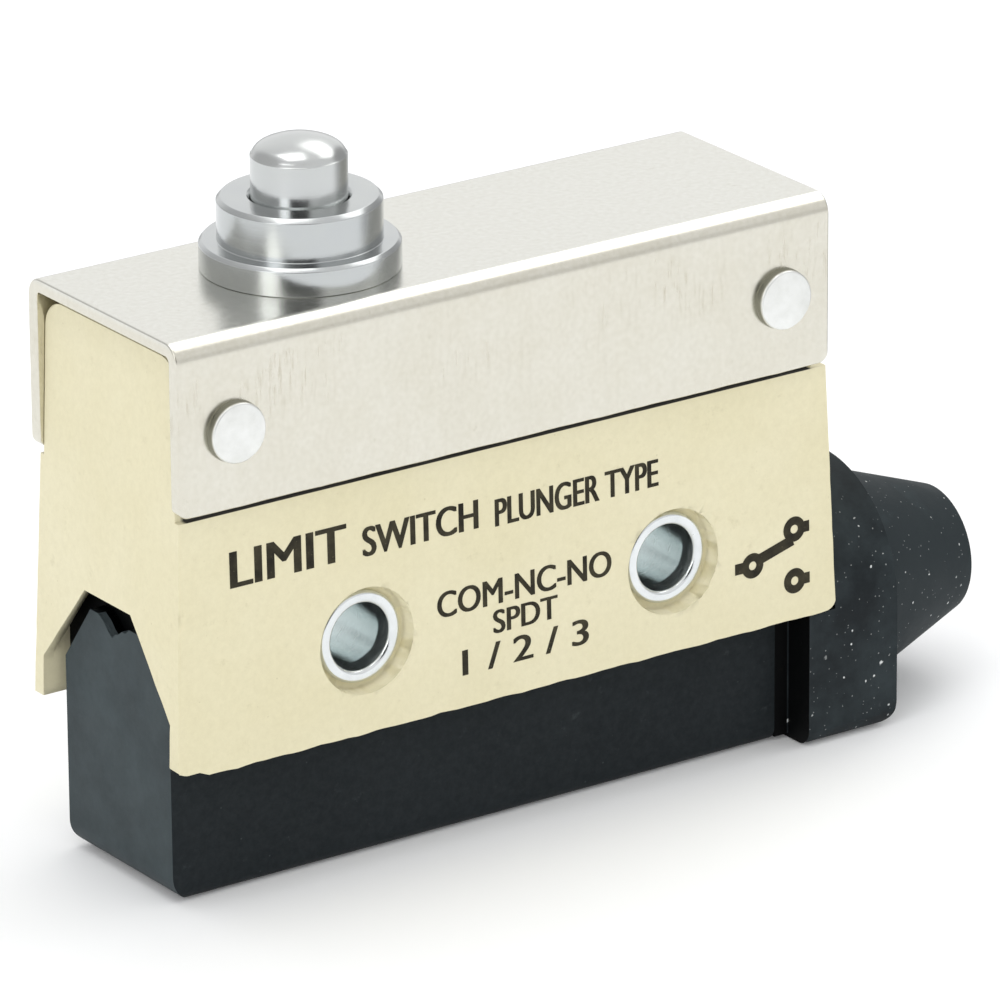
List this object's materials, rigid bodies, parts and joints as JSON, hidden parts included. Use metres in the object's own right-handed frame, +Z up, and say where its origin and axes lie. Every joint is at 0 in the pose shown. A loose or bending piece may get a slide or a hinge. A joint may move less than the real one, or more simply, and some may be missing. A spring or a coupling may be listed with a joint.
{
  "type": "limit switch",
  "caption": "Enclosed plunger limit switch: moulded case under a bent steel cover, turned plunger collar, flared mounting eyelets and a tapering cable outlet.",
  "frame": {"origin": "centre of the overall box on the base plane", "axes": "+X along the length towards the cable outlet, -Y the front with the legend, +Z up along the plunger"},
  "size_m": [0.07, 0.0198, 0.05],
  "materials": {
    "cover_steel": "satin nickel-plated sheet",
    "plated_steel": "turned and zinc-plated, fine turning marks",
    "spring_steel": "bright drawn wire",
    "bright_aluminium": "bright, slightly dented",
    "case_cream": "moulded cream phenolic, satin",
    "cover_black": "moulded black, satin",
    "boot_rubber": "matt black rubber, dusty",
    "seal_rubber": "smooth black rubber",
    "brown_phenolic": "moulded brown phenolic",
    "brass": "stamped",
    "contact_silver": "polished silver",
    "spring_copper": "rolled beryllium copper"
  },
  "bodies": {
    "housing": {"metal_cover": "cover_steel", "cover_gasket": "seal_rubber", "plunger_bushing": "plated_steel", "plunger_seal": "seal_rubber", "return_spring": "spring_steel", "inner_lid": "brown_phenolic", "cover_rivets": "bright_aluminium", "case": "case_cream", "mounting_eyelet_left": "bright_aluminium", "mounting_eyelet_right": "bright_aluminium", "terminal_cover": "cover_black", "terminal_seal": "seal_rubber", "cable_boot": "boot_rubber", "com_terminal": "brass", "nc_terminal": "brass", "no_terminal": "brass", "nc_contact": "contact_silver", "no_contact": "contact_silver", "terminal_screws": "plated_steel", "clamp_washers": "plated_steel"},
    "plunger_group": {"plunger": "plated_steel", "overtravel_spring": "spring_steel"},
    "pin_group": {"push_pin": "brown_phenolic"},
    "leaf_group": {"tension_leaf": "spring_copper"},
    "blade_group": {"moving_blade": "spring_copper", "moving_contact": "contact_silver"}
  },
  "joints": [
    {"name": "plunger_press", "type": "slide", "parent": "housing", "child": "plunger_group", "axis": [0, 0, -1], "range_m": [0, 0.0035], "stiffness_N_per_m": 600, "springref_m": -0.003, "deforming": ["return_spring", "overtravel_spring"]},
    {"name": "push_pin_slide", "type": "slide", "parent": "housing", "child": "pin_group", "axis": [0, 0, -1], "range_m": [0, 0.0008]},
    {"name": "leaf_tilt", "type": "hinge", "parent": "housing", "child": "leaf_group", "pos_m": [-0.0254, 0, 0.02757], "axis": [0, 1, 0], "range_deg": [0, 6.9]},
    {"name": "blade_tilt", "type": "hinge", "parent": "housing", "child": "blade_group", "pos_m": [-0.0254, 0, 0.02722], "axis": [0, 1, 0], "range_deg": [0, 1.35]}
  ],
  "couplings": [
    {"joint": "push_pin_slide", "follows": "plunger_press", "ratio": 0.2285},
    {"joint": "leaf_tilt", "follows": "plunger_press", "rad_per_m": 34.2},
    {"joint": "blade_tilt", "follows": "plunger_press", "rad_per_m": 6.6}
  ]
}
